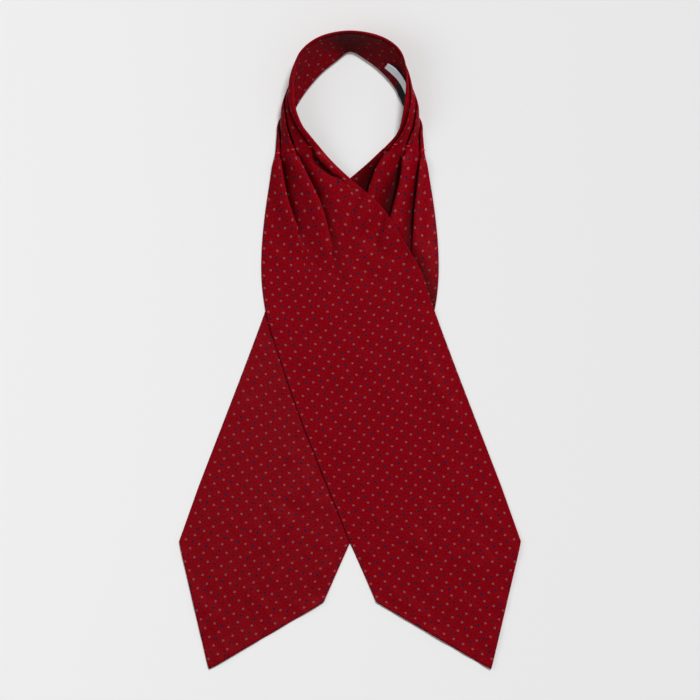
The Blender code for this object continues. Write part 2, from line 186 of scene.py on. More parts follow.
def through(knots, values, at):
    """A smooth curve through values (one row per knot), read at these places."""
    knots = np.asarray(knots, float)
    values = np.asarray(values, float).reshape(len(knots), -1)
    at = np.atleast_1d(np.asarray(at, float))
    steps = np.diff(knots)
    slopes = np.diff(values, axis=0) / steps[:, None]
    tangents = np.vstack([slopes[:1], slopes, slopes[-1:]])
    before = np.r_[steps[0], steps][:, None]
    after = np.r_[steps, steps[-1]][:, None]
    tangents = (tangents[:-1] * after + tangents[1:] * before) / (before + after)
    cell = np.clip(np.searchsorted(knots, at, side="right") - 1, 0, len(steps) - 1)
    span = steps[cell][:, None]
    t = np.clip((at[:, None] - knots[cell][:, None]) / span, 0.0, 1.0)
    return (
        (2 * t**3 - 3 * t**2 + 1) * values[cell]
        + (t**3 - 2 * t**2 + t) * span * tangents[cell]
        + (3 * t**2 - 2 * t**3) * values[cell + 1]
        + (t**3 - t**2) * span * tangents[cell + 1]
    )


def section_places():
    """How far each section's middle lies below the tacks, measured along the cloth."""
    names = [row[0] for row in SECTIONS]
    middles = np.array([row[4:7] for row in SECTIONS])
    run = np.r_[0.0, np.cumsum(np.linalg.norm(np.diff(middles, axis=0), axis=1))]
    return names, run - run[names.index(SECTION_BEFORE_BLADE)]


NAMES, PLACES = section_places()
BACK = PLACES[0]
KNOTS = np.r_[2 * PLACES[0] - PLACES[1], PLACES]  # the other half's first section comes before
PLEATS_END = PLACES[NAMES.index(LAST_PLEATED_SECTION)]
LAST = PLACES[-1]


def section_rows(under):
    rows = np.array([row[1:] for row in SECTIONS])
    for name, outer_x, outer_y, neck_x, neck_y in UNDER_MOVES if under else ():
        rows[NAMES.index(name), [0, 1, 6, 7]] += (outer_x, outer_y, neck_x, neck_y)
    before = rows[1] * np.tile([-1.0, 1.0, 1.0], 3)
    return np.vstack([before, rows])


def sunk(points, along):
    """The under half lies lower where the other half crosses it."""
    share = 1.0 - (1.0 - SINK_TO_SHARE) * ease((along - SINK_FROM) / (SINK_TO - SINK_FROM))
    points = points.copy()
    points[..., 2] *= share[:, None]
    return points


def cloth_base(along, across, under):
    """Points of the unpleated form: rows at these places along, columns at these shares across."""
    rows = through(KNOTS, section_rows(under), along)
    outer, middle, neck = (rows[:, None, k : k + 3] for k in (0, 3, 6))
    pull = 2.0 * middle - (outer + neck) / 2.0
    share = across[:, :, None]
    points = outer * (1 - share) ** 2 + 2 * pull * share * (1 - share) + neck * share**2
    return sunk(points, along) if under else points


def section_widths(under):
    """Length across the cloth at each section."""
    t = np.linspace(0, 1, WIDTH_STEPS)
    curves = cloth_base(PLACES, np.tile(t, (len(PLACES), 1)), under)
    return np.linalg.norm(np.diff(curves, axis=1), axis=2).sum(axis=1)


def pointed_end(rows, across, under):
    """Rows that bend, from the last section, into the blade's point."""
    start = cloth_base(np.full(len(rows), LAST), across, under)
    outer, point, neck = (np.array(p) for p in (OUTER_CORNER, POINT, NECK_CORNER))
    share = across[:, :, None]
    first = outer + (point - outer) * share / POINT_SHARE
    second = point + (neck - point) * (share - POINT_SHARE) / (1.0 - POINT_SHARE)
    hem = np.where(share < POINT_SHARE, first, second)
    down = (point - (outer + neck) / 2) / np.linalg.norm(point - (outer + neck) / 2)
    width = np.linalg.norm(neck - outer)
    for place in (0.0, POINT_SHARE, 1.0):
        near = np.abs(share - place) * width / CORNER_ROUND
        hem = hem - down * CORNER_DRAWN_IN * np.exp(-near)
    flat = start.copy()
    flat[..., :2] += (hem - start[..., :2]) * rows[:, None, None]
    return flat


def frames(points):
    """Unit directions across the cloth and out of its outer face."""
    across = np.gradient(points, axis=1)
    down = np.gradient(points, axis=0)
    across /= np.linalg.norm(across, axis=2, keepdims=True) + TINY
    normal = np.cross(down, across)
    normal /= np.linalg.norm(normal, axis=2, keepdims=True) + TINY
    return across, normal


def places_along():
    """Rows from the centre back to the last section."""
    stops = [BACK + SEAM_GAP / 2, BACK + SEAM_GAP / 2 + SEAM_ROW]
    for end, step in ROW_STEPS:
        count = max(1, round((end - stops[-1]) / step))
        stops += list(np.linspace(stops[-1], end, count + 1)[1:])
    return np.array(stops)


def shares_across(along, pleats, under):
    """Where each row's columns lie across the cloth, and where in a fold they are."""
    stations = [PLACES[NAMES.index(name)] for name in PLEAT_STATIONS]
    widths = through(PLACES, section_widths(under), along)[:, 0]
    widening = ease((along - FOLD_WIDENS_FROM) / (PLEATS_END - FOLD_WIDENS_FROM))
    room = FOLD_NARROW + (FOLD_WIDE - FOLD_NARROW) * widening
    half = room / widths / 2.0
    folds = [through(stations, pleat[10], along)[:, 0] for pleat in pleats]
    rim = RIM[-1] / widths
    stops = [rim]
    for fold in folds:
        stops += [fold - half, fold + half]
    stops.append(1.0 - rim)
    columns = [place / widths for place in RIM[:-1]]
    marks = [None] * len(columns)
    for k, (low, high) in enumerate(zip(stops[:-1], stops[1:])):
        cells = FOLD_CELLS if k % 2 else STRIP_CELLS[k // 2]
        for i in range(cells):
            columns.append(low + (high - low) * i / cells)
            marks.append((k // 2, i / cells) if k % 2 else None)
    columns += [1.0 - place / widths for place in RIM[::-1]]
    marks += [None] * len(RIM)
    return np.stack(columns, axis=1), marks, folds, half, widths


def pleat_sizes(pleat, along):
    """Height and overlap of a pleat at these places along."""
    _, _, height, overlap, _, _, full_until, gone_by, _, _, _ = pleat
    opening = ease(along / OPENS_OVER)
    fading = 1.0 - ease((along - full_until) / (gone_by - full_until))
    step = BAND_STEP * ease((along - BACK - BACK_LEVEL) / (BACK_FULL - BACK_LEVEL))
    tall = (step + (height - step) * opening) * fading
    grown = overlap * ease((tall - OVERLAP_FROM) / OVERLAP_GROWS_OVER)
    folded = np.maximum(BAND_OVERLAP * (1.0 - opening), grown)
    return tall, folded


def pleated(base, along, columns, marks, folds, half, widths, pleats):
    """The base with its pleats, and how much painted shade each point gets in them.

    The cloth rises to a crest, folds under itself and comes out of a trough.
    """
    tangent, normal = frames(base)
    lift = np.zeros(columns.shape)
    shift = np.zeros(columns.shape)
    painted_shade = np.zeros(columns.shape)
    for k, pleat in enumerate(pleats):
        _, over, height, _, crest, trough, _, _, painted_shade_width, opens_over, _ = pleat
        tall, folded = pleat_sizes(pleat, along)
        away = (columns - folds[k][:, None]) * widths[:, None] * over
        clear = np.maximum(np.abs(away) - (half * widths)[:, None], 0.0)
        high = CREST_SHARE * np.exp(-((clear / crest) ** 2))
        low = (CREST_SHARE - 1.0) * np.exp(-((clear / trough) ** 2))
        groove = BAND_GROOVE * (1.0 - ease(along / OPENS_OVER)) / BAND_STEP
        low = low - groove[:, None] * np.exp(-((clear / BAND_GROOVE_WIDTH) ** 2))
        change = np.where(away < 0, high, low)
        # painted shade beside each crest, over the trough that runs under it and round the fold
        wide = BAND_PAINTED_SHADE + (painted_shade_width - BAND_PAINTED_SHADE) * ease(along / opens_over)
        near_back = ease((along - BACK - BACK_LEVEL) / (BACK_FULL - BACK_LEVEL))
        deep = np.where(along < 0, near_back, (tall / height) ** PAINTED_SHADE_FADES)
        fall = np.exp(-((clear / wide[:, None]) ** PAINTED_SHADE_EDGE))
        dark = np.where(away < 0, 0.0, fall)
        for column, mark in enumerate(marks):
            if mark is None or mark[0] != k:
                continue
            turn = mark[1] if over > 0 else 1.0 - mark[1]
            change[:, column] = CREST_SHARE - ease(turn) - groove * ease(turn)
            dark[:, column] = ease((turn - TURN_PAINTED_SHADE_FROM) / TURN_PAINTED_SHADE_OVER)
            shift[:, column] += over * folded * np.sin(2 * np.pi * turn)
        lift += change * tall[:, None]
        painted_shade = np.maximum(painted_shade, dark * deep[:, None])
    return base + normal * lift[..., None] + tangent * shift[..., None], painted_shade


# ---------------------------------------------------------------- print coordinates

STEP_ACROSS = 6.55  # mm between neighbouring dots, crosswise on flat cloth
STEP_ALONG = 6.5
CUT_WIDTH = 144.0
SEAM_TO_DOTS = 2.2  # the centre back seam runs between two rows of dots
SEAM_DOTS_OVER = 110.0
EDGE_TO_DOTS = 2.5  # from the cloth's edge to its outermost column of dots

LENGTHWISE = (
    # mm below the tacks, mm between dots along the cloth
    (-131.0, 6.6),
    (0.0, 7.2),
    (40.0, 6.9),
    (100.0, 6.1),
    (150.0, 5.5),
    (270.0, 5.5),
    (310.0, 5.9),
    (350.0, 6.2),
    (450.0, 6.5),
)
HIDDEN = (
    # section, rolled under at the outer edge, then hidden in each pleat, as shares of the rest
    ("centre_back", 5.0, 0.33, 0.33, 0.34),
    ("tacks", 10.0, 0.33, 0.33, 0.34),
    ("opening", 4.0, 0.35, 0.35, 0.30),
    ("neckline", 0.0, 0.40, 0.40, 0.20),
    ("spread", 0.0, 0.45, 0.45, 0.10),
    ("waist", 0.0, 0.5, 0.5, 0.0),
)
ROW_BEND = (
    # section, first and second order of how a row of dots runs down across the cloth
    ("centre_back", 0.0, 0.0),
    ("tacks", 0.10, -0.08),
    ("opening", 0.25, -0.18),
    ("spread", 0.31, -0.22),
    ("waist", 0.20, -0.10),
    ("flare", 0.15, -0.075),
)


def cloth_coordinates(along, columns, marks, folds, widths, end_rows):
    """Crosswise and lengthwise place of each point on the flat cloth, in mm."""
    rows = np.clip(along, BACK, LAST)
    names = [row[0] for row in HIDDEN]
    at = [PLACES[NAMES.index(name)] for name in names]
    rolled = np.interp(rows, at, [row[1] for row in HIDDEN])
    hidden = np.maximum(CUT_WIDTH - rolled - widths, 0.0)
    u = rolled[:, None] + columns * widths[:, None]
    for k in range(len(folds)):
        share = np.interp(rows, at, [row[2 + k] for row in HIDDEN])
        passed = np.zeros(columns.shape)
        for column, mark in enumerate(marks):
            if mark is not None and mark[0] == k:
                passed[:, column] = mark[1]
            elif mark is None:
                passed[:, column] = (columns[:, column] > folds[k]).astype(float)
            else:
                passed[:, column] = float(mark[0] > k)
        u += passed * (share * hidden)[:, None]
    fine = np.arange(BACK, along[-1] + end_rows.max() + 2.0, 1.0)
    steps = np.interp(fine, [row[0] for row in LENGTHWISE], [row[1] for row in LENGTHWISE])
    run = np.cumsum(STEP_ALONG / steps)
    bend_at = [PLACES[NAMES.index(row[0])] for row in ROW_BEND]
    first = np.interp(rows, bend_at, [row[1] for row in ROW_BEND])[:, None]
    second = np.interp(rows, bend_at, [row[2] for row in ROW_BEND])[:, None]
    bend = widths[:, None] * (first * columns + second * columns**2)
    v = np.interp(along[:, None] + end_rows - bend, fine, run)
    v += SEAM_TO_DOTS * (1.0 - ease((along - BACK) / SEAM_DOTS_OVER))[:, None]
    return np.stack([u - EDGE_TO_DOTS, v], axis=2)


# ---------------------------------------------------------------- creases

CREASES = (
    # half, x and y from, x and y to, width, height: a soft ridge, or a trough if below zero
    ("upper", 6.0, 98.0, 16.0, 84.0, 7.0, 0.7),
    ("upper", 0.0, 92.0, 12.0, 76.0, 6.0, -0.5),
    ("upper", 62.0, -8.0, 98.0, -60.0, 14.0, 0.8),
    ("upper", 84.0, 4.0, 118.0, -80.0, 12.0, -0.6),
    ("upper", -52.0, 60.0, -20.0, -30.0, 10.0, -0.6),
    ("upper", -30.0, 30.0, 10.0, -60.0, 12.0, 0.7),
    ("upper", 10.0, -40.0, 50.0, -150.0, 16.0, -0.6),
    ("upper", 40.0, 40.0, 20.0, 20.0, 12.0, 0.6),
    ("upper", 60.0, -170.0, 120.0, -200.0, 14.0, 0.5),
    ("under", -80.0, 30.0, -110.0, -50.0, 12.0, 0.7),
    ("under", -60.0, -60.0, -95.0, -130.0, 14.0, -0.6),
    ("under", -40.0, -120.0, -90.0, -210.0, 16.0, 0.6),
    ("under", -120.0, -120.0, -135.0, -190.0, 12.0, -0.5),
    ("under", 70.0, 90.0, 76.0, 50.0, 8.0, 0.6),
)
RIPPLES = (
    # wavelength, height, phase x, phase y
    (46.0, 0.75, 0.6, 1.9),
    (27.0, 0.42, 2.3, 0.4),
    (15.0, 0.15, 4.1, 3.0),
)
RIPPLE_WAYS = (
    # pace down its own axis, how far the other axis swings it, pace of that swing
    (1.0, 1.3, 0.6),
    (0.8, 0.9, 0.7),
)
CREASE_DEPTH = 1.5
CREASE_END_WIDTHS = 0.5  # a crease ends over this share of its width
CREASE_END_MORE = 4.0  # and this many mm
HEM_LIFT = 1.8  # how far the hem's edge stands off the table
HEM_LIFT_OVER = 12.0
RIPPLE_CLEAR = 9.0  # mm from an edge over which ripples grow
RIPPLE_AT_EDGE = 0.15
RIPPLES_FROM = 40.0  # mm below the tacks
RIPPLES_FULL = 120.0


def creased(points, half, along, columns, widths):
    """The cloth's soft creases and ripples, as height."""
    x = points[..., 0] * (-1.0 if half == "under" else 1.0)
    y = points[..., 1]
    height = np.zeros(x.shape)
    for which, x0, y0, x1, y1, width, tall in CREASES:
        if which != half:
            continue
        direction = np.array([x1 - x0, y1 - y0])
        length = np.linalg.norm(direction)
        direction /= length
        down = (x - x0) * direction[0] + (y - y0) * direction[1]
        aside = -(x - x0) * direction[1] + (y - y0) * direction[0]
        beyond = np.maximum(np.abs(down - length / 2) - length / 2, 0.0)
        ending = CREASE_END_WIDTHS * width + CREASE_END_MORE
        fall = np.exp(-((aside / width) ** 2) - (beyond / ending) ** 2)
        height += CREASE_DEPTH * tall * fall
    for wave, ripple, *phases in RIPPLES:
        turn = 2 * math.pi / wave
        for (pace, swing, swing_pace), phase, own, other in zip(
            RIPPLE_WAYS, phases, (x, y), (y, x)
        ):
            swung = swing * np.sin(turn * swing_pace * other)
            ripple = ripple * np.sin(turn * pace * own + phase + swung)
        height += ripple
    edge = np.minimum(columns, 1.0 - columns) * widths[:, None]
    grow = RIPPLE_AT_EDGE + (1.0 - RIPPLE_AT_EDGE) * ease(edge / RIPPLE_CLEAR)
    fade = ease((along - RIPPLES_FROM) / (RIPPLES_FULL - RIPPLES_FROM))
    return height * grow * fade[:, None]


# ---------------------------------------------------------------- halves

COVER_CELL = 1.5
COVER_POINTS = 4  # per cell of the cloth, each way
COVER_ROOM = 20.0  # mm of table kept round the cloth
COVER_SPREAD = 2
COVER_SOFTENING = 3
COVER_MARGIN = 0.15
EDGE_STRIDE = 2
COVERS_OVER = 20.0  # mm below the tacks
BARE_TABLE = 0.02  # mm: a cover lower than this is the table
LAST_CELL = 1.001  # keeps a place inside the last cell


def half_faces(half):
    """Outer and inner face of a half, with each point's cloth coordinates and painted shade."""
    under = half == "under"
    pleats = UNDER_PLEATS if under else UPPER_PLEATS
    along = places_along()
    columns, marks, folds, half_room, widths = shares_across(along, pleats, under)
    base = cloth_base(along, columns, under)
    top, painted_shade = pleated(base, along, columns, marks, folds, half_room, widths, pleats)
    rows = np.linspace(0, 1, POINT_ROWS + 1)[1:]
    rows = 1.0 - (1.0 - rows) ** POINT_ROWS_CROWD
    end_columns = np.repeat(columns[-1:], len(rows), axis=0)
    low = pointed_end(rows, end_columns, under)
    start = cloth_base(np.array([LAST]), columns[-1:], under)
    reach = np.linalg.norm(low[-1] - start[0], axis=1)
    end_rows = rows[:, None] * reach[None, :]
    all_along = np.r_[along, np.full(len(rows), LAST)]
    all_columns = np.vstack([columns, end_columns])
    all_widths = np.r_[widths, np.full(len(rows), widths[-1])]
    all_folds = [np.r_[fold, np.full(len(rows), fold[-1])] for fold in folds]
    all_end = np.vstack([np.zeros(columns.shape), end_rows])
    uv = cloth_coordinates(all_along, all_columns, marks, all_folds, all_widths, all_end)
    middle = np.vstack([top, low])
    smooth = np.vstack([base, low])
    depth = all_along + all_end.mean(axis=1)
    middle[..., 2] += creased(middle, half, depth, all_columns, all_widths)
    hem = np.full(all_columns.shape, NO_HEM)
    hem[len(along):] = (1.0 - rows)[:, None] * reach[None, :]
    middle[..., 2] += HEM_LIFT * np.exp(-hem / HEM_LIFT_OVER)
    thinned = ease((all_along - WALL_THINS_FROM) / (WALL_THINS_TO - WALL_THINS_FROM))
    thick = BAND_WALL + (BLADE_WALL - BAND_WALL) * thinned
    opened = thinned[:, None, None]
    _, plain = frames(smooth)
    _, pleat_normal = frames(middle)
    normal = plain * (1 - opened) + pleat_normal * opened
    normal /= np.linalg.norm(normal, axis=2, keepdims=True) + TINY
    edge = np.minimum(all_columns, 1.0 - all_columns) * all_widths[:, None]
    edge = np.minimum(edge, hem)
    round_to = np.minimum(thick / 2, RIM[-1])[:, None]
    close = np.clip(1.0 - edge / round_to, 0.0, 1.0)
    rounding = RIM_THINNEST + (1.0 - RIM_THINNEST) * np.sqrt(np.maximum(1.0 - close**2, 0.0))
    half_thick = (thick[:, None] / 2 * rounding)[..., None]
    inner_middle = smooth * (1 - opened) + middle * opened
    floor = np.where(opened[..., 0] > 0.5, thick[:, None] / 2, 0.0)
    for surface in (middle, inner_middle):
        surface[..., 2] = np.maximum(surface[..., 2], floor)
    outer = middle + normal * half_thick
    from_neck = (1.0 - all_columns) * all_widths[:, None]
    rim_groove = RIM_GROOVE * np.exp(-(((from_neck - RIM_GROOVE_IN) / RIM_GROOVE_WIDTH) ** 2))
    inner = inner_middle - normal * half_thick + plain * rim_groove[..., None] * (1 - opened)
    sunk_by = np.maximum(-np.minimum(outer, inner)[..., 2], 0.0)
    outer[..., 2] += sunk_by
    inner[..., 2] += sunk_by
    for face in (outer, inner):
        for row in range(SEAM_ROWS):
            limit = -SEAM_GAP / 2 - row * SEAM_STEP
            face[row, :, 0] = np.minimum(face[row, :, 0], limit) if row else limit
    # Painted shade: in the pleats on the outer face, and on the inner face at the centre back,
    # along the rim's groove and over the rest of the band
    outer_painted_shade = np.vstack([painted_shade, np.zeros(low.shape[:2])])
    back_painted_shade = BACK_PAINTED_SHADE * np.exp(-(((all_along - BACK) / BACK_PAINTED_SHADE_LENGTH) ** 2))
    back_painted_shade = np.maximum(back_painted_shade, INNER_PAINTED_SHADE * (1 - opened[:, 0, 0]))
    inner_painted_shade = np.maximum(back_painted_shade[:, None], rim_groove / RIM_GROOVE * (1 - opened[..., 0]))
    return outer, inner, uv, (outer_painted_shade, inner_painted_shade), along, columns


def cover(outer):
    """Height of what lies under a point, as a soft sheet over these faces' highest places."""
    plan = outer[..., :2].reshape(-1, 2)
    low = plan.min(axis=0) - COVER_ROOM
    size = ((plan.max(axis=0) + COVER_ROOM - low) / COVER_CELL).astype(int) + 1
    heights = np.zeros(size)
    fine = between(outer, COVER_POINTS)
    cells = ((fine[:, :2] - low) / COVER_CELL).astype(int)
    np.maximum.at(heights, (cells[:, 0], cells[:, 1]), fine[:, 2])
    reach = range(-COVER_SPREAD, COVER_SPREAD + 1)
    for axis in (0, 1):
        heights = np.max([np.roll(heights, k, axis) for k in reach], axis=0)
    for _ in range(COVER_SOFTENING):
        for axis in (0, 1):
            heights = np.mean([np.roll(heights, k, axis) for k in (-1, 0, 1)], axis=0)

    def height_at(points):
        place = (points[..., :2] - low) / COVER_CELL - 0.5
        place = np.clip(place, 0, np.array(size) - LAST_CELL)
        cell = place.astype(int)
        part = place - cell
        i, j = cell[..., 0], cell[..., 1]
        near = heights[i, j] * (1 - part[..., 1]) + heights[i, j + 1] * part[..., 1]
        far = heights[i + 1, j] * (1 - part[..., 1]) + heights[i + 1, j + 1] * part[..., 1]
        return near * (1 - part[..., 0]) + far * part[..., 0]

    return height_at


def between(points, times):
    """The points of a grid and those between them."""
    found = []
    for u in np.arange(times) / times:
        for v in np.arange(times) / times:
            first = points[:-1, :-1] * (1 - u) + points[1:, :-1] * u
            second = points[:-1, 1:] * (1 - u) + points[1:, 1:] * u
            found.append(first * (1 - v) + second * v)
    return np.concatenate([f.reshape(-1, 3) for f in found])


def cloth_piece(name, outer, inner, uv, mirrored, painted_shades=None):
    """A closed cloth mesh between two faces of matching rows and columns."""
    rows, columns = outer.shape[:2]
    points = np.vstack([outer.reshape(-1, 3), inner.reshape(-1, 3)]) * MM
    if mirrored:
        points[:, 0] *= -1.0
    at = np.arange(rows * columns).reshape(rows, columns)
    quads = np.stack([at[:-1, :-1], at[1:, :-1], at[1:, 1:], at[:-1, 1:]], axis=-1).reshape(-1, 4)
    under = quads[:, ::-1] + rows * columns
    rim = np.r_[at[0, :], at[1:, -1], at[-1, -2::-1], at[-2:0:-1, 0]]
    after = np.roll(rim, -1)
    sides = np.stack([rim, after, after + rows * columns, rim + rows * columns], axis=-1)
    faces = np.vstack([quads, under, sides])
    if mirrored:
        faces = faces[:, ::-1]
    mesh = bpy.data.meshes.new(name)
    mesh.from_pydata(points.tolist(), [], faces.tolist())
    both = np.vstack([uv.reshape(-1, 2), uv.reshape(-1, 2)])
    layer = mesh.uv_layers.new(name="cloth")
    index = np.empty(len(mesh.loops), np.int32)
    mesh.loops.foreach_get("vertex_index", index)
    layer.data.foreach_set("uv", (both[index] * UV_SCALE).astype(np.float32).ravel())
    # painted shade for each point, by which the silk is darkened
    if painted_shades is not None:
        painted_shade = mesh.attributes.new("painted_fold_shade", "FLOAT", "POINT")
        values = np.concatenate([face.ravel() for face in painted_shades])
        painted_shade.data.foreach_set("value", values.astype(np.float32))
    mesh.shade_smooth()
    mesh.update()
    piece = bpy.data.objects.new(name, mesh)
    bpy.context.scene.collection.objects.link(piece)
    return piece


# ---------------------------------------------------------------- materials

SILK = (0.25, 0.0008, 0.0062)
SILK_DARK = (0.115, 0.0003, 0.0024)
LIGHT_DOT = (0.19, 0.085, 0.09)
NAVY_DOT = (0.014, 0.010, 0.026)
PIN_DOT = (0.09, 0.003, 0.007)
# painted shade: the colour that folds, troughs and the inner face are darkened towards, and how far
# at most
PAINTED_SHADE_COLOUR = (0.02, 0.0004, 0.0006)
PAINTED_SHADE_STRENGTH = 0.93
DOTS = {
    # half width in mm, softness of its edge, 0 for round to 1 for square
    "light": (1.08, 0.34, 0.55),
    "eye": (0.62, 0.30, 0.0),
    "navy": (1.38, 0.45, 0.25),
    "pin": (0.85, 0.30, 0.2),
}
EYE_STRENGTH = 0.6  # how much of the silk's own colour shows in a light dot's middle
GRAIN = (80.0, 4.0)  # scale and detail
GRAIN_CONTRAST = 4.0
GRAIN_BASE = 0.4
SLUB = (9.0, 4.0)
TWILL_PITCH = 0.62
TWILL_HEIGHT = 0.5
TWILL_BUMP = (0.45, 0.00012)  # strength and distance
SILK_FINISH = {
    "Roughness": 0.50,
    "Specular IOR Level": 0.03,
    "Sheen Weight": 0.02,
    "Sheen Roughness": 0.45,
    "Sheen Tint": (0.8, 0.03, 0.06, 1.0),
}
SATIN_PITCHES = (0.22, 0.35)  # mm across and along
SATIN_SPECKS = (120.0, 2.0)
SATIN_WEAVE_SHARE = 0.5
SATIN_SPECK_SHARE = 0.4
SATIN_BUMP = (0.3, 0.0001)
SATIN_SPECULAR = 0.15


class Nodes:
    """Short ways to add shader nodes."""

    def __init__(self, material):
        self.tree = material.node_tree

    def put(self, kind, **inputs):
        node = self.tree.nodes.new(kind)
        for key, value in inputs.items():
            self.feed(node.inputs[key.replace("_", " ")], value)
        return node

    def feed(self, socket, value):
        if isinstance(value, bpy.types.NodeSocket):
            self.tree.links.new(value, socket)
        else:
            socket.default_value = value

    def math(self, operation, *values, clamp=False):
        node = self.tree.nodes.new("ShaderNodeMath")
        node.operation = operation
        node.use_clamp = clamp
        for socket, value in zip(node.inputs, values):
            self.feed(socket, value)
        return node.outputs[0]

    def mix(self, factor, first, second):
        node = self.tree.nodes.new("ShaderNodeMix")
        node.data_type = "RGBA"
        self.feed(node.inputs["Factor"], factor)
        for key, colour in (("A", first), ("B", second)):
            self.feed(node.inputs[key], (*colour, 1.0) if isinstance(colour, tuple) else colour)
        return node.outputs["Result"]

    def noise(self, vector, scale, detail):
        return self.put("ShaderNodeTexNoise", Vector=vector, Scale=scale, Detail=detail).outputs[0]

    def bump(self, height, strength, distance):
        node = self.put("ShaderNodeBump", Height=height, Strength=strength, Distance=distance)
        return node.outputs[0]

    def cloth_uv(self):
        """The flat cloth's coordinates, whole and split into across and along."""
        uv = self.put("ShaderNodeUVMap")
        uv.uv_map = "cloth"
        split = self.put("ShaderNodeSeparateXYZ", Vector=uv.outputs[0])
        return uv.outputs[0], split.outputs[0], split.outputs[1]

    def wave(self, socket, pitch):
        """A sine down this coordinate, with a pitch in mm."""
        return self.math("SINE", self.math("MULTIPLY", socket, 2 * math.pi / (pitch * UV_SCALE)))


def new_material(name):
    made = bpy.data.materials.new(name)
    made.use_nodes = True
    return made, made.node_tree.nodes["Principled BSDF"]


def dot_mask(n, across, along, size, soft, square):
    """1 inside a dot at the cell's middle, 0 outside. square blends from round to square."""
    a = n.math("ABSOLUTE", across)
    b = n.math("ABSOLUTE", along)
    round_far = n.math("SQRT", n.math("ADD", n.math("MULTIPLY", a, a), n.math("MULTIPLY", b, b)))
    square_far = n.math("MAXIMUM", a, b)
    far = n.math(
        "ADD", n.math("MULTIPLY", round_far, 1.0 - square), n.math("MULTIPLY", square_far, square)
    )
    return n.math("DIVIDE", n.math("SUBTRACT", size, far), soft, clamp=True)


def silk_material():
    """Red silk with a small printed repeat: light, navy and pin dots on a square grid, darkened by
    painted shade in its folds, troughs and inner face.
    """
    made, shader = new_material("silk_print")
    n = Nodes(made)
    uv, across, along = n.cloth_uv()
    offsets, odds = [], []
    for socket, step in ((across, STEP_ACROSS), (along, STEP_ALONG)):
        place = n.math("DIVIDE", socket, step * UV_SCALE)
        nearest = n.math("ROUND", place)
        offsets.append(n.math("MULTIPLY", n.math("SUBTRACT", place, nearest), step))
        odds.append(n.math("FLOORED_MODULO", nearest, 2.0))
    either = n.math("ABSOLUTE", n.math("SUBTRACT", odds[0], odds[1]))
    both = n.math("MULTIPLY", odds[0], odds[1])
    neither = n.math(
        "MULTIPLY", n.math("SUBTRACT", 1.0, odds[0]), n.math("SUBTRACT", 1.0, odds[1])
    )
    light, eye, navy, pin = (
        n.math("MULTIPLY", dot_mask(n, *offsets, *DOTS[name]), cells)
        for name, cells in (("light", either), ("eye", either), ("navy", neither), ("pin", both))
    )
    grain = n.math("SUBTRACT", n.noise(uv, *GRAIN), 0.5)
    tone = n.math("ADD", n.math("MULTIPLY", grain, GRAIN_CONTRAST), GRAIN_BASE, clamp=True)
    ground = n.mix(tone, SILK, SILK_DARK)
    colour = n.mix(light, ground, LIGHT_DOT)
    colour = n.mix(n.math("MULTIPLY", eye, EYE_STRENGTH), colour, SILK)
    colour = n.mix(navy, colour, NAVY_DOT)
    colour = n.mix(pin, colour, PIN_DOT)
    # Painted shade darkens the silk in its folds and troughs, beside the crossing edge and inside
    # the band
    fold = n.put("ShaderNodeAttribute")
    fold.attribute_name = "painted_fold_shade"
    colour = n.mix(n.math("MULTIPLY", fold.outputs["Fac"], PAINTED_SHADE_STRENGTH), colour, PAINTED_SHADE_COLOUR)
    n.feed(shader.inputs["Base Color"], colour)
    # Twill ribs, and a slub that varies them
    ribs = n.wave(n.math("ADD", across, along), TWILL_PITCH)
    height = n.math("ADD", n.math("MULTIPLY", ribs, TWILL_HEIGHT), n.noise(uv, *SLUB))
    n.feed(shader.inputs["Normal"], n.bump(height, *TWILL_BUMP))
    for key, value in SILK_FINISH.items():
        shader.inputs[key].default_value = value
    return made


def plain_material(name, colour, roughness):
    made, shader = new_material(name)
    shader.inputs["Base Color"].default_value = (*colour, 1.0)
    shader.inputs["Roughness"].default_value = roughness
    return made


# ---------------------------------------------------------------- build the cloth

silk = silk_material()
under_outer, under_inner, under_uv, under_painted_shades, under_along, under_columns = half_faces("under")
upper_outer, upper_inner, upper_uv, upper_painted_shades, upper_along, _ = half_faces("upper")
height_at = cover(under_outer * np.array([-1.0, 1.0, 1.0]))
reach = height_at(upper_inner)
lowest = np.minimum(upper_outer, upper_inner)[..., 2]
lift = np.where(reach > BARE_TABLE, np.maximum(reach + COVER_MARGIN - lowest, 0.0), 0.0)
# Above the tacks nothing lies under the upper half: the halves only meet end on at the back
lift *= np.r_[ease(upper_along / COVERS_OVER), np.ones(POINT_ROWS)][:, None]
upper_outer[..., 2] += lift
upper_inner[..., 2] += lift

# The under half gets a painted shadow beside the edge that crosses it
edge = upper_outer[:, -1, :2]
beside = under_outer[: len(under_along), :, :2] * np.array([-1.0, 1.0])
near = np.min([np.linalg.norm(beside - point, axis=2) for point in edge[::EDGE_STRIDE]], axis=0)
grow = ease((under_along - CROSSING_FROM) / (CROSSING_FULL - CROSSING_FROM))[:, None]
painted_crossing_shadow = CROSSING_PAINTED_SHADOW * grow * np.exp(-((near / CROSSING_REACH) ** 2))
painted_shade = under_painted_shades[0][: len(under_along)]
np.maximum(painted_shade, painted_crossing_shadow, out=painted_shade)

under_half = cloth_piece("under_half", under_outer, under_inner, under_uv, True, under_painted_shades)
upper_half = cloth_piece("upper_half", upper_outer, upper_inner, upper_uv, False, upper_painted_shades)
for piece in (under_half, upper_half):
    piece.data.materials.append(silk)
    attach(piece, "root")
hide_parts("under_blade", "neckband_under_half")
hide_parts("upper_blade", "neckband_upper_half")

# ---------------------------------------------------------------- labels

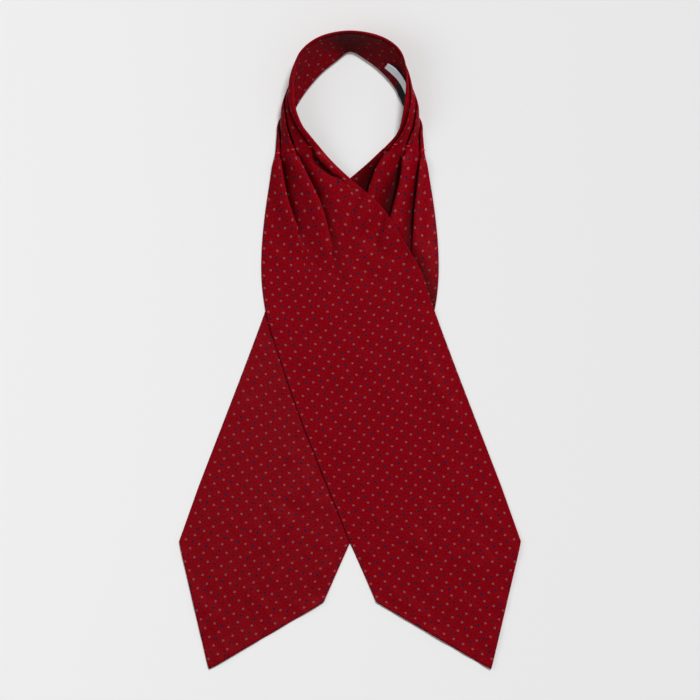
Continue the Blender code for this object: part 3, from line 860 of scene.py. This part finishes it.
WHITE_LABEL = (
    # mm below the tacks, share across at the lower edge, share at the upper edge
    (-90.3, 0.22, 0.40),
    (-84.0, 0.24, 0.46),
    (-74.0, 0.27, 0.50),
    (-62.0, 0.26, 0.52),
    (-42.0, 0.24, 0.50),
)
BLACK_LABEL = (
    (-89.8, 0.30, 0.43),
    (-84.0, 0.32, 0.505),
    (-73.5, 0.32, 0.55),
    (-71.8, 0.17, 0.55),
    (-68.2, 0.06, 0.56),
    (-55.0, 0.00, 0.56),
    (-44.0, -0.02, 0.54),
)
LABEL_WALL = 0.35
LABEL_ROW = 0.6
LABEL_CELLS = 22
LABEL_OFF_TABLE = 0.05
BAND_WIDTH = 37.0
LABELS = (
    # name, where it lies, mm off the band, flat size and area that shows in metres,
    # colour, thread's colour, roughness
    ("black_label", BLACK_LABEL, 0.15, (0.022, 0.046), 0.00065,
     (0.004, 0.004, 0.005), (0.012, 0.012, 0.014), 0.6),
    ("white_label", WHITE_LABEL, 1.1, (0.0105, 0.049), 0.0005,
     (0.93, 0.95, 0.98), (0.74, 0.77, 0.86), 0.45),
)


def label_faces(table, lift, inner, along, columns):
    """Both faces of a label, made from the points of the band's inner face and moved off it."""
    places, lower, upper = np.array(table).T
    at = np.unique(np.round(np.r_[places, np.arange(places[0], places[-1], LABEL_ROW)], 2))
    across = np.linspace(0, 1, LABEL_CELLS + 1)
    low, high = np.interp(at, places, lower), np.interp(at, places, upper)
    shares = low[:, None] + (high - low)[:, None] * across
    cell = np.searchsorted(along, at) - 1
    part = ((at - along[cell]) / (along[cell + 1] - along[cell]))[:, None, None]
    before, after = (
        np.array([
            [np.interp(share, columns[row], inner[row, :, axis]) for axis in range(3)]
            for share, row in zip(shares, rows)
        ])
        for rows in (cell, cell + 1)
    )
    patch = np.moveaxis(before * (1 - part) + after * part, 1, 2)
    beyond = np.minimum(shares, 0.0)[..., None]
    patch = patch + beyond * (inner[cell, -1] - inner[cell, 0])[:, None, :]
    _, normal = frames(patch)
    near = patch - normal * lift
    far = patch - normal * (lift + LABEL_WALL)
    for face in (near, far):
        face[..., 2] = np.maximum(face[..., 2], LABEL_OFF_TABLE)
    length = np.repeat((at - at[0])[:, None], shares.shape[1], axis=1)
    uv = np.stack([shares * BAND_WIDTH, length], axis=2)
    return near, far, uv


def woven_material(name, colour, thread, roughness):
    """Narrow label satin: fine ribs across, and a thread colour between them."""
    made, shader = new_material(name)
    n = Nodes(made)
    uv, *ways = n.cloth_uv()
    waves = [
        n.math("ADD", n.math("MULTIPLY", n.wave(way, pitch), 0.5), 0.5)
        for way, pitch in zip(ways, SATIN_PITCHES)
    ]
    weave = n.math("MULTIPLY", *waves)
    specks = n.math("MULTIPLY", n.noise(uv, *SATIN_SPECKS), SATIN_SPECK_SHARE)
    mixed = n.math("ADD", n.math("MULTIPLY", weave, SATIN_WEAVE_SHARE), specks)
    n.feed(shader.inputs["Base Color"], n.mix(mixed, colour, thread))
    n.feed(shader.inputs["Normal"], n.bump(weave, *SATIN_BUMP))
    shader.inputs["Roughness"].default_value = roughness
    shader.inputs["Specular IOR Level"].default_value = SATIN_SPECULAR
    return made


BAND_ROWS = int(np.searchsorted(under_along, 0.0))
on_band = under_inner[:BAND_ROWS], under_along[:BAND_ROWS], under_columns[:BAND_ROWS]
for name, table, lift, flat, area, *look in LABELS:
    near, far, uv = label_faces(table, lift, *on_band)
    label = cloth_piece(name + "_woven", near, far, uv, mirrored=True)
    label.data.materials.append(woven_material(name + "_satin", *look))
    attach(label, "root")
    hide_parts(name)

# ---------------------------------------------------------------- bar tacks

TACKS = (
    # half, x and y on that half, and the way its bar runs
    ("upper", -64.6, 176.6, (1.0, 0.25)),
    ("upper", -51.3, 179.8, (1.0, 0.2)),
    ("upper", -35.5, 182.2, (1.0, 0.2)),
    ("under", -40.9, 184.5, (1.0, -0.1)),
    ("under", -52.1, 182.9, (1.0, 0.1)),
    ("under", -65.9, 179.6, (1.0, 0.15)),
)
TACK_LENGTH = 2.1
TACK_STITCHES = 7
THREAD = 0.42
TACK_RAISED = 0.25
STITCH_HALF = 0.75
STITCH_POINTS = 6
STITCH_END = 0.25  # a stitch's thickness at its ends, as a share of the thread's
THREAD_SIDES = 6
HIGHER_WINS = 0.02  # a tack sits on the highest cloth near it: mm of distance per mm of height
THREAD_COLOUR = (0.75, 0.008, 0.03)
THREAD_ROUGHNESS = 0.35


def stitch(start, end, up):
    """A short bowed thread, closed at both ends, as rings round its path."""
    path = np.linspace(0, 1, STITCH_POINTS)[:, None]
    bow = np.sin(np.pi * path)
    middle = start + (end - start) * path + up * bow * THREAD
    way = (end - start) / np.linalg.norm(end - start)
    aside = np.cross(up, way)
    turn = np.linspace(0, 2 * np.pi, THREAD_SIDES, endpoint=False)[:, None]
    size = THREAD / 2 * (STITCH_END + (1.0 - STITCH_END) * np.sqrt(bow))
    ring = aside * np.cos(turn) + up * np.sin(turn)
    points = (middle[:, None] + ring[None] * size[:, None]).reshape(-1, 3)
    at = np.arange(STITCH_POINTS * THREAD_SIDES).reshape(STITCH_POINTS, THREAD_SIDES)
    beside = np.roll(at, -1, axis=1)
    sides = np.stack([at[:-1], beside[:-1], beside[1:], at[1:]], axis=-1).reshape(-1, 4)
    ends = [at[0][::-1].tolist(), at[-1].tolist()]
    return points, sides.tolist() + ends


def tack_piece(name, half, outer):
    """One half's bar tacks: satin stitches side by side across the pleats' edges."""
    _, normals = frames(outer)
    points, faces = [], []
    for which, x, y, way in TACKS:
        if which != half:
            continue
        along = np.array([*way, 0.0]) / math.hypot(*way)
        for k in range(TACK_STITCHES):
            place = np.array([x, y]) + along[:2] * TACK_LENGTH * (k / (TACK_STITCHES - 1) - 0.5)
            gap = np.linalg.norm(outer[..., :2] - place, axis=2) - HIGHER_WINS * outer[..., 2]
            at = np.unravel_index(np.argmin(gap), gap.shape)
            up = normals[at]
            middle = np.array([*place, outer[at][2]]) + up * TACK_RAISED
            aside = np.cross(up, along)
            aside /= np.linalg.norm(aside)
            found, made = stitch(middle - aside * STITCH_HALF, middle + aside * STITCH_HALF, up)
            faces += [[i + len(points) for i in face] for face in made]
            points += found.tolist()
    points = np.array(points) * MM
    if half == "under":
        points[:, 0] *= -1.0
        faces = [face[::-1] for face in faces]
    mesh = bpy.data.meshes.new(name)
    mesh.from_pydata(points.tolist(), [], faces)
    mesh.shade_smooth()
    piece = bpy.data.objects.new(name, mesh)
    bpy.context.scene.collection.objects.link(piece)
    return piece


thread = plain_material("tack_thread", THREAD_COLOUR, THREAD_ROUGHNESS)
for half, outer in (("upper", upper_outer), ("under", under_outer)):
    tacks = tack_piece(half + "_tacks", half, outer)
    tacks.data.materials.append(thread)
    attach(tacks, "root")

# ---------------------------------------------------------------- camera, light and floor

FRAME_WIDTH = 0.63
CAMERA_HEIGHT = 12.0  # so far up that the picture has next to no perspective, as in the photo
CAMERA_SHIFT = -0.0005  # keeps the top of the picture towards +Y
SENSOR = 36.0
LIGHTS = (
    # name, kind, place, size in m or angle in degrees, power, colour
    ("key", "AREA", (1.35, 1.65, 2.25), 0.9, 96.0, (1.0, 0.995, 0.99)),
    ("floor_key", "SUN", (0.35, 0.95, 2.0), 16.0, 2.24, (1.0, 1.0, 1.0)),
    ("fill", "AREA", (-1.4, 0.1, 1.3), 1.4, 6.5, (0.98, 0.99, 1.0)),
)
WORLD_LIGHT = 0.22
FLOOR_HALF = 3.0
FLOOR_DEPTH = -0.0002
FLOOR_PAPER = (0.86, 0.86, 0.86)
FLOOR_ROUGHNESS = 0.9

camera_data = bpy.data.cameras.new("camera")
camera = bpy.data.objects.new("camera", camera_data)
bpy.context.scene.collection.objects.link(camera)
camera.location = (0.0, CAMERA_SHIFT, CAMERA_HEIGHT)
camera_data.lens = SENSOR * CAMERA_HEIGHT / FRAME_WIDTH
camera_data.sensor_width = SENSOR
camera_data.clip_end = 20.0
bpy.context.scene.camera = camera
bpy.context.scene.view_settings.view_transform = "Standard"


def light(name, kind, place, size, power, colour):
    data = bpy.data.lights.new(name, kind)
    if kind == "SUN":
        data.angle = math.radians(size)
    else:
        data.shape = "DISK"
        data.size = size
    data.energy = power
    data.color = colour
    lamp = bpy.data.objects.new(name, data)
    lamp.location = place
    bpy.context.scene.collection.objects.link(lamp)
    lamp.rotation_euler = (-Vector(place)).to_track_quat("-Z", "Y").to_euler()
    return lamp


lights = {row[0]: light(*row) for row in LIGHTS}

world = bpy.data.worlds.new("studio")
world.use_nodes = True
background = world.node_tree.nodes["Background"]
background.inputs["Color"].default_value = (1.0, 1.0, 1.0, 1.0)
background.inputs["Strength"].default_value = WORLD_LIGHT
bpy.context.scene.world = world

floor_mesh = bpy.data.meshes.new("floor")
corners = ((-1, -1), (1, -1), (1, 1), (-1, 1))
floor_mesh.from_pydata(
    [(FLOOR_HALF * x, FLOOR_HALF * y, 0.0) for x, y in corners], [], [(0, 1, 2, 3)]
)
floor = bpy.data.objects.new("floor", floor_mesh)
bpy.context.scene.collection.objects.link(floor)
floor.location.z = FLOOR_DEPTH
floor_mesh.materials.append(plain_material("floor_paper", FLOOR_PAPER, FLOOR_ROUGHNESS))

# The photo's floor is evenly lit and its cloth is not, so each has a main light of its own
on_floor = [piece for piece in bpy.data.objects if piece.type == "MESH" and piece is not floor]
for name, lit in (("floor_key", [floor]), ("key", on_floor)):
    receivers = bpy.data.collections.new(name + "_lights")
    for piece in lit:
        receivers.objects.link(piece)
    lights[name].light_linking.receiver_collection = receivers
